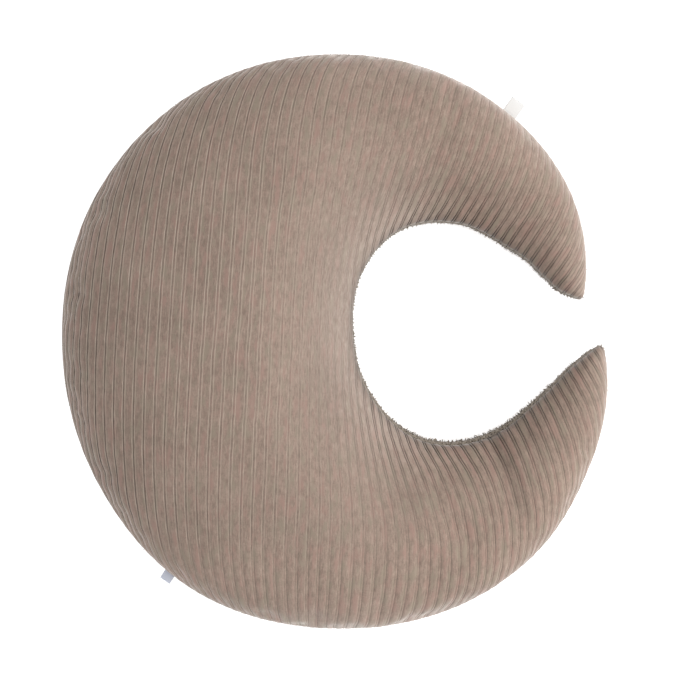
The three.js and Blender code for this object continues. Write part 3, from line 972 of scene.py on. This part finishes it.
def fluffAt(x, y, z):
    # 1 where the locks stand out, near 0 where they are pressed or combed down
    s = standing
    outer, inner, _, bayTurn, _ = rimDistances(x, y)
    byBay = ease(s["bayFrom"], s["bayFull"], np.maximum(inner, 0))
    byBay = byBay * ease(s["spineFrom"], s["spineFull"], outer - inner) * plushStands(bayTurn)
    byTip = s["tipShare"] * ease(s["tipFrom"], s["tipFull"], np.abs(outer) + np.abs(inner))
    offFloor = ease(s["floorFrom"], s["floorFull"], z)
    return np.clip(np.maximum(byBay, byTip), s["least"], 1) * (s["least"] + (1 - s["least"]) * offFloor)


lock = {"rings": 3, "sides": 3, "width": 0.22, "curl": 0.55, "droop": 0.2, "twist": 0.15}
pile = {
    "pressed": 0.15,
    "leastOut": 0.2,
    "leastMess": 0.4,
    "leastLong": 0.5,
    "combedDown": 0.6,
    "draws": {"spin": 5, "long": 7, "stray": 11, "tone": 19},
    "side": {"spacing": 2.7, "shortest": 2.8, "longest": 4.8, "mess": 0.85, "seed": 3},
    "under": {"spacing": 3.6, "shortest": 4.5, "longest": 7.0, "mess": 0.9, "seed": 8},
}


def lockShape():
    # one curled lock of pile, a unit long, rooted at the origin and growing up
    work = bmesh.new()
    along = work.verts.layers.float.new("along")
    rings = []
    for r in range(lock["rings"]):
        t = r / lock["rings"]
        ring = []
        for k in range(lock["sides"]):
            spin = 2 * math.pi * (k / lock["sides"] + lock["twist"] * r)
            wide = lock["width"] * (1 - t) ** 0.5
            place = (
                lock["curl"] * t * t + wide * math.cos(spin),
                wide * math.sin(spin),
                t * (1 - lock["droop"] * t),
            )
            made = work.verts.new(place)
            made[along] = t
            ring.append(made)
        rings.append(ring)
    tip = work.verts.new((lock["curl"], 0, 1 - lock["droop"]))
    tip[along] = 1.0
    count = lock["sides"]
    for low, high in zip(rings, rings[1:]):
        for k in range(count):
            work.faces.new((low[k], low[(k + 1) % count], high[(k + 1) % count], high[k]))
    for k in range(count):
        work.faces.new((rings[-1][k], rings[-1][(k + 1) % count], tip))
    work.faces.new(rings[0][::-1])
    made = bpy.data.meshes.new("pile_lock")
    work.to_mesh(made)
    work.free()
    made.shade_smooth()
    shape = bpy.data.objects.new("pile_lock", made)
    bpy.context.scene.collection.objects.link(shape)
    return shape


def pileTree(material):
    # sows locks over the plush: spacing and lengths are millimetres, and each draw steps the seed
    inputs = {"Lock": "Object", "Seed": "Int"}
    inputs.update({name: "Float" for name in ("Spacing", "Shortest", "Longest", "Mess")})
    tree = ShapeTree("pile", inputs)
    size = tree.size

    def chance(draw, low, high):
        # a random number, or a random vector if low and high are vectors
        flat = not isinstance(low, tuple)
        kind = "FLOAT" if flat else "FLOAT_VECTOR"
        inputs = {2 * flat: low, 2 * flat + 1: high, "Seed": size("Seed") + pile["draws"][draw]}
        return tree.out("FunctionNodeRandomValue", {"data_type": kind}, inputs, int(flat))

    inputs = {
        "Mesh": size("Geometry"),
        "Distance Min": size("Spacing") * mm,
        "Density Max": 2 / (size("Spacing") * size("Spacing") * mm * mm),
        "Density Factor": tree.read("dense"),
        "Seed": size("Seed"),
    }
    roots = tree.node("GeometryNodeDistributePointsOnFaces", {"distribute_method": "POISSON"}, inputs)
    fluff = tree.read("fluff")
    least = lambda name: pile[name] + (1 - pile[name]) * fluff
    # the faces' normal points into the cushion here, so a lock grows against it
    normal = Value(tree, roots.outputs["Normal"])
    outward = tree.vector("SCALE", {"Vector": normal, "Scale": -(pile["leastOut"] + fluff)})
    stray = tree.vector("SCALE", {
        "Vector": chance("stray", (-1, -1, -1), (1, 1, 1)),
        "Scale": size("Mess") * least("leastMess"),
    })
    combed = tree.vector("SCALE", {"Vector": (0, 0, -pile["combedDown"]), "Scale": 1 - fluff})
    grows = tree.vector("ADD", {0: tree.vector("ADD", {0: outward, 1: stray}), 1: combed})
    turned = tree.out("FunctionNodeAlignRotationToVector", {"axis": "Z"}, {"Vector": grows})
    spin = tree.out("FunctionNodeEulerToRotation", {}, {0: chance("spin", (0, 0, 0), (0, 0, 6.28))})
    turned = tree.out("FunctionNodeRotateRotation", {"rotation_space": "LOCAL"}, {0: turned, 1: spin})
    long = chance("long", size("Shortest"), size("Longest")) * mm * least("leastLong")
    shape = tree.out("GeometryNodeObjectInfo", {}, {"Object": size("Lock")}, "Geometry")
    locks = tree.out("GeometryNodeInstanceOnPoints", {}, {
        "Points": Value(tree, roots.outputs["Points"]),
        "Instance": shape,
        "Rotation": turned,
        "Scale": tree.out("ShaderNodeCombineXYZ", {}, {0: long, 1: long, 2: long}),
    })
    toned = tree.out("GeometryNodeStoreNamedAttribute", {"data_type": "FLOAT", "domain": "INSTANCE"}, {
        "Geometry": locks,
        "Name": "tone",
        "Value": chance("tone", 0.0, 1.0),
    })
    return tree.close(toned, material)


def plushPile(panel, name, dense, settings, shape, material):
    piece = bpy.data.objects.new(name, panel.data.copy())
    bpy.context.scene.collection.objects.link(piece)
    putAttribute(piece, "dense", dense)
    sizes = {key.capitalize(): value for key, value in settings.items()}
    runTree(piece, pileTree(material), {"Lock": shape, **sizes})
    points = pointsOf(piece)
    low = points[:, 2] < 0
    points[low, 2] *= pile["pressed"]  # the floor presses the locks under the cushion flat
    piece.data.vertices.foreach_set("co", points.ravel())
    piece.data.update()
    print(f"stage: {name}, {sum(len(f.vertices) - 2 for f in piece.data.polygons)} triangles")
    return piece


# Labels: bare tape folded back on itself, both ends caught in the seam.

labels = {
    "woven_label": {"turn": 53, "points": 54, "width": 16.5, "out": 17.9, "thick": 0.45, "wave": 0.5},
    "care_label": {"turn": 234, "points": 237, "width": 12, "out": 9.8, "thick": 0.25, "wave": 0.8},
}
tape = {
    "split": 0.55,
    "sewnIn": 2.5,
    "droop": 0.008,
    "clear": 0.35,
    "steps": 26,
    "across": 14,
    "swayRun": 2.6,
    "swayStart": 0.7,
    "opening": 0.5,
}


def foldedTape(name, material):
    spec = labels[name]
    half = tape["split"] / 2 + spec["thick"] / 2
    straight = spec["out"] - half - spec["thick"] / 2
    bend = math.pi * half
    whole = 2 * (straight + tape["sewnIn"]) + bend
    outX = math.cos(math.radians(spec["points"]))
    outY = math.sin(math.radians(spec["points"]))
    reach = float(outerReach(spec["turn"])) + tape["clear"]
    rootX = reach * math.cos(math.radians(spec["turn"]))
    rootY = reach * math.sin(math.radians(spec["turn"]))
    rootZ = seamLevel(rootX)
    points = []
    uv = []
    for i in range(tape["steps"] + 1):
        along = whole * i / tape["steps"]
        if along < straight + tape["sewnIn"]:
            s = along - tape["sewnIn"]
            z = -half
        elif along < straight + tape["sewnIn"] + bend:
            angle = (along - straight - tape["sewnIn"]) / half - math.pi / 2
            s = straight + half * math.cos(angle)
            z = half * math.sin(angle)
        else:
            s = whole - along - tape["sewnIn"]
            z = half
        for j in range(tape["across"] + 1):
            side = (j / tape["across"] - 0.5) * spec["width"]
            free = max(s, 0) / spec["out"]
            ripple = math.sin(tape["swayRun"] * side / spec["width"] + tape["swayStart"])
            lift = z * (1 + tape["opening"] * free)
            points.append((
                rootX + outX * s - outY * side,
                rootY + outY * s + outX * side,
                rootZ + lift - tape["droop"] * s * abs(s) + spec["wave"] * free * ripple,
            ))
            uv.append((side + spec["width"] / 2, along))
    wide = tape["across"] + 1
    faces = []
    for i in range(tape["steps"]):
        for j in range(tape["across"]):
            a = i * wide + j
            faces.append((a, a + 1, a + wide + 1, a + wide))
    piece = meshObject(name + "_tape", np.array(points) * mm, faces)
    putUv(piece, *np.array(uv).T)
    piece.data.materials.append(material)
    wall = piece.modifiers.new("Thickness", "SOLIDIFY")
    wall.thickness = spec["thick"] * mm
    wall.offset = 0
    takeResult(piece)
    return piece, (spec["width"] * mm, whole * mm)


# Finishes: the shader's plain numbers first, then the values that vary over the cloth.

def clothShader(rough, sheen, sheenRough, tint, specular):
    return {
        "Roughness": rough,
        "Sheen Weight": sheen,
        "Sheen Roughness": sheenRough,
        "Sheen Tint": (*tint, 1.0),
        "Specular IOR Level": specular,
    }


velvet = {
    "shader": {
        "rough": 0.85,
        "sheen": 0.7,
        "sheenRough": 0.34,
        "tint": (0.88, 0.865, 0.84),
        "specular": 0.25,
    },
    "shade": (0.205, 0.150, 0.118),
    "light": (0.345, 0.256, 0.206),
    "pink": (0.300, 0.196, 0.160),
    "olive": (0.255, 0.208, 0.158),
    # colour of the painted highlights along the groove edges
    "edge": (0.510, 0.415, 0.340),
    # colour of the painted sheen
    "pale": (0.560, 0.470, 0.415),
    "tone": 0.45,
    "patches": 0.8,
    "blotches": 0.6,
    "streaks": 1.5,
    "grain": 0.8,
    "tintShare": 0.8,
    # how much of the painted sheen shows, and how streaked it is
    "paintedSheenShare": 0.44,
    "paintedSheenStreaks": 0.9,
    # painted light: the velvet painted lighter on the horns, towards the bottom and by the bay
    "overPaintedLight": 0.11,
    "lowerPaintedLight": 0.07,
    "bayPaintedLight": 0.12,
    # the darkest the painted shade goes, and painted shade across each broad wale
    "darkest": 0.2,
    "shaded": 0.12,
    "rough": (0.78, 0.15),
    "bump": (0.35, 0.0004),
}
# painted light and shade on the ribs: painted highlights along the groove edges, and painted shade on the
# narrow wale, in the valleys and in the creases by the rims
paintedRibLight = {
    "width": 0.55,
    "valleyWidth": 0.95,
    "wander": 1.6,
    "light": 0.40,
    "lightByRim": 0.30,
    "second": 0.85,
    "secondByRim": 0.45,
    "lessOnLower": 0.7,
    "lessByBay": 1.3,
    "leastLit": 0.35,
    "litByStray": 1.3,
    "darkWale": 0.95,
    "darkValley": 0.15,
    "darkGroove": 0.25,
    "darkCrease": 0.85,
    "firstCrease": 0.75,
    "darkMiddle": 1.1,
}
drawnOut = {  # noises drawn out along the wales: scale across them in repeats, and along in millimetres
    "stray": (1.6, 0.05),
    "tints": (1.4, 0.04),
    "streaks": (7.0, 0.12),
}


def velvetFinish():
    v = velvet
    n = paintedRibLight
    tree = CoatTree("ribbed_velvet", clothShader(**v["shader"]))
    place = tree.place()
    wale, rows = tree.cloth()
    across = wale.fract() * ribs["repeat"]
    along = rows * ribs["repeat"]
    byOuter = tree.read("byOuter")
    byBay = tree.read("byBay")
    over = tree.read("over")
    lower = tree.read("lower")

    def drawn(name):
        scales = drawnOut[name]
        return tree.noise(tree.out("ShaderNodeCombineXYZ", {}, {0: wale * scales[0], 1: along * scales[1]}))

    stray = drawn("stray")
    wander = across + n["wander"] * (stray - 0.5)

    def line(middle, width=n["width"]):
        # 1 along the middle of a line that runs with the wales
        return (-(((wander - middle) / width) ** 2)).exp()

    first, second = ribs["groovesAt"]
    firstLine = line(first)
    secondLine = line(second)
    narrow = line((first + second) / 2)
    valley = line((first + second) / 2, n["valleyWidth"])
    gap = (second - first) / ribs["repeat"]
    broad = ((wale - second / ribs["repeat"]).fract() / (1 - gap)).least(1)
    # painted highlights along the groove edges, fading on the horns, towards the bottom and by the bay
    away = (1 - over) * (1 - n["lessOnLower"] * lower) * (1 - n["lessByBay"] * byBay).most(0)
    lines = firstLine + (n["second"] - n["secondByRim"] * byOuter) * secondLine
    lit = (n["light"] + n["lightByRim"] * byOuter) * lines * away
    lit = lit * (n["leastLit"] + n["litByStray"] * stray)
    # painted shade on the narrow wale, in the valleys, grooves and creases, with the painted shadow of the
    # tuck and the fold
    dark = n["darkWale"] * narrow * byOuter * (1 - over) * (1 - lower)
    dark = dark + n["darkValley"] * valley * over * (1 - byBay) + n["darkGroove"] * secondLine * lower
    dark = dark + n["darkCrease"] * (n["firstCrease"] * firstLine + secondLine) * byBay
    middle = line(0) + line(ribs["repeat"])
    dark = dark + n["darkMiddle"] * middle * byBay * over + tree.read("shadow")

    streaks = drawn("streaks")
    grain = tree.noise(place, 520, rough=0.7)
    fields = {"patches": tree.noise(place, 12), "blotches": tree.noise(place, 110), "streaks": streaks}
    tone = v["tone"]
    for name, field in {**fields, "grain": grain}.items():
        tone = tone + v[name] * (field - 0.5)
    base = tree.mix(tone.ease(0.0, 1.0), v["shade"], v["light"])
    tints = drawn("tints")
    base = tree.mix(tints.ease(0.5, 0.68) * v["tintShare"], base, v["pink"])
    base = tree.mix(tints.ease(0.5, 0.32) * v["tintShare"], base, v["olive"])
    # painted sheen, pale and streaked, beside the bay and along the horns' outer rim
    pale = tree.read("pale") * (v["paintedSheenShare"] + v["paintedSheenStreaks"] * (streaks - 0.5))
    base = tree.mix(pale.most(0), base, v["pale"])
    # the painted highlights of the groove edges, in their own pale colour
    base = tree.mix(lit.least(1), base, v["edge"])
    # painted shade across each broad wale, one side darker than the other
    slantShade = v["shaded"] * (broad - 0.5) * (1 - over - 2 * lower)
    # painted light: lighter on the horns, towards the bottom and by the bay
    paintedLight = 1 + v["overPaintedLight"] * over * (1 - lower) + v["lowerPaintedLight"] * lower + v["bayPaintedLight"] * byBay
    shade = (1 - dark).most(v["darkest"]) * (1 - slantShade) * paintedLight
    fibres = tree.noise(place, 1600, 2.0, 0.7)
    return tree.close({
        "Base Color": tree.shaded(base, shade),
        "Roughness": v["rough"][0] + v["rough"][1] * grain,
        "Normal": tree.bump(*v["bump"], fibres + grain),
    })


plush = {
    "root": (0.195, 0.160, 0.125),
    "body": (0.330, 0.280, 0.228),
    "tip": (0.55, 0.485, 0.415),
    "tipShare": (0.35, 0.5),
    "lockShade": (0.8, 0.4),
    "wear": 0.5,
    "groundBump": (0.8, 0.0015),
    "pileBump": (0.4, 0.0004),
    "ground": {
        "rough": 0.95,
        "sheen": 0.35,
        "sheenRough": 0.5,
        "tint": (0.85, 0.84, 0.82),
        "specular": 0.2,
    },
    "pile": {
        "rough": 0.9,
        "sheen": 0.25,
        "sheenRough": 0.45,
        "tint": (0.88, 0.87, 0.85),
        "specular": 0.2,
    },
}


def plushGroundFinish():
    tree = CoatTree("teddy_plush_ground", clothShader(**plush["ground"]))
    curls = tree.noise(tree.place(), 420, 4.0, 0.65)
    base = tree.mix(curls.ease(0.3, 0.7), plush["root"], plush["body"])
    return tree.close({"Base Color": base, "Normal": tree.bump(*plush["groundBump"], curls)})


def plushPileFinish():
    # dark at the roots and pale at the tips; each lock has a tone of its own
    tree = CoatTree("teddy_plush_pile", clothShader(**plush["pile"]))
    place = tree.place()
    along = tree.read("along")
    tone = tree.read("tone")
    wear = tree.noise(place, 30)
    fibres = tree.noise(place, 2400, 2.0)
    least, byTone = plush["tipShare"]
    base = tree.mix((along * 1.2).ease(0.0, 0.75), plush["root"], plush["body"])
    base = tree.mix(along.ease(0.45, 1.0) * (least + byTone * tone), base, plush["tip"])
    darkest, byTone = plush["lockShade"]
    shade = darkest + byTone * tone
    for field in (wear, fibres):
        shade = shade * (1 + plush["wear"] * (field - 0.5))
    return tree.close({
        "Base Color": tree.shaded(base, shade),
        "Normal": tree.bump(*plush["pileBump"], fibres),
    })


tapeLooks = {
    "woven_label": {
        "coat": "woven_tape",
        "colour": (0.80, 0.79, 0.77),
        "rough": 0.8,
        "weave": 0.45,
        "sheen": 0.3,
    },
    "care_label": {
        "coat": "satin_tape",
        "colour": (0.64, 0.67, 0.76),
        "rough": 0.42,
        "weave": 0.3,
        "sheen": 0.1,
    },
}
weaving = {
    "sheenRough": 0.4,
    "tint": (1, 1, 1),
    "specular": 0.35,
    "shadow": 0.72,
    "shadowShare": 0.35,
    "grainShare": 0.3,
    "grainHeight": 0.6,
    "bump": (0.5, 0.00012),
}


def tapeFinish(coat, colour, rough, weave, sheen):
    # threads crossing over and under, the weave's width in millimetres
    w = weaving
    tree = CoatTree(coat, clothShader(rough, sheen, w["sheenRough"], w["tint"], w["specular"]))
    warp, weft = [(way * (2 * math.pi / weave)).sin() for way in tree.cloth()]
    grain = tree.noise(tree.place(), 900)
    threads = 0.5 + 0.25 * warp + 0.25 * weft
    share = w["shadowShare"] * (1 - threads) + w["grainShare"] * (grain - 0.5)
    base = tree.mix(share, colour, tuple(w["shadow"] * c for c in colour))
    bump = tree.bump(*w["bump"], threads + w["grainHeight"] * grain)
    return tree.close({"Base Color": base, "Normal": bump})


# The stage: camera straight above at the photograph's distance, pale floor, soft light.

view = {
    "across": 711.4,
    "lens": 100,
    "sensor": 36,
    "clip": (0.05, 20),
    "x": 2.0,
    "y": 1.5,
    "sharpAt": 61.6,
}
lights = {
    "key": {"place": (1.9, -0.15, 1.6), "across": 1.6, "power": 32.5, "colour": (1.0, 0.985, 0.96)},
    "top": {"place": (0.1, 0.3, 2.6), "across": 2.0, "power": 11, "colour": (1, 1, 1)},
}
studio = {
    "lightsAim": (0, 0, 0.05),
    "air": (0.97, 0.98, 1.0, 1.0),
    "airStrength": 0.75,
    "floorSize": 12,
    "floorLevel": -0.0006,
    "floor": {
        "Base Color": (0.93, 0.93, 0.93, 1.0),
        "Roughness": 0.9,
        "Emission Color": (1.0, 1.0, 1.0, 1.0),
        "Emission Strength": 0.6,
    },
}


def putCamera():
    lens = bpy.data.cameras.new("camera")
    lens.lens = view["lens"]
    lens.sensor_width = view["sensor"]
    lens.clip_start, lens.clip_end = view["clip"]
    camera = bpy.data.objects.new("camera", lens)
    away = view["across"] * view["lens"] / view["sensor"]
    camera.location = (view["x"] * mm, view["y"] * mm, (view["sharpAt"] + away) * mm)
    bpy.context.scene.collection.objects.link(camera)
    bpy.context.scene.camera = camera


def softLight(name, place, across, power, colour):
    lamp = bpy.data.lights.new(name, "AREA")
    lamp.shape = "DISK"
    lamp.size = across
    lamp.energy = power
    lamp.color = colour
    made = bpy.data.objects.new(name, lamp)
    made.location = place
    made.rotation_mode = "QUATERNION"
    made.rotation_quaternion = (Vector(studio["lightsAim"]) - Vector(place)).to_track_quat("-Z", "Y")
    bpy.context.scene.collection.objects.link(made)


def putStage():
    # pale air all round, a key light from the right, a weaker one above, and a floor that glows white
    scene = bpy.context.scene
    scene.view_settings.view_transform = "Standard"
    scene.world = bpy.data.worlds.new("studio")
    scene.world.use_nodes = True
    air = scene.world.node_tree.nodes["Background"].inputs
    air["Color"].default_value = studio["air"]
    air["Strength"].default_value = studio["airStrength"]
    for name, light in lights.items():
        softLight(name, **light)
    bpy.ops.mesh.primitive_plane_add(size=studio["floorSize"], location=(0, 0, studio["floorLevel"]))
    floor = bpy.context.object
    floor.name = "floor"
    floor.data.materials.append(CoatTree("pale_floor", studio["floor"]).coat)


putCamera()
putStage()
print("stage: camera, floor and light")

filled = fillCushion()
velvetPiece = velvetPanel(filled, velvetFinish())
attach(velvetPiece, "root")
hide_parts("front_panel")

plushPiece = plushPanel(filled, plushGroundFinish())
height = pointsOf(plushPiece)[:, 2] / mm
shape = lockShape()
pileCoat = plushPileFinish()
piles = [
    plushPile(plushPiece, "plush_pile_side", ease(2, 8, height), pile["side"], shape, pileCoat),
    plushPile(plushPiece, "plush_pile_under", ease(8, 2, height), pile["under"], shape, pileCoat),
]
bpy.data.objects.remove(shape)
putLid(plushPiece)
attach(plushPiece, "root")
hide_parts("back_panel")
for piece in piles:
    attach(piece, "root")
print("stage: plush back and its pile")

for name, look in tapeLooks.items():
    piece, flat = foldedTape(name, tapeFinish(**look))
    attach(piece, "root")
    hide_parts(name)
print("stage: labels")
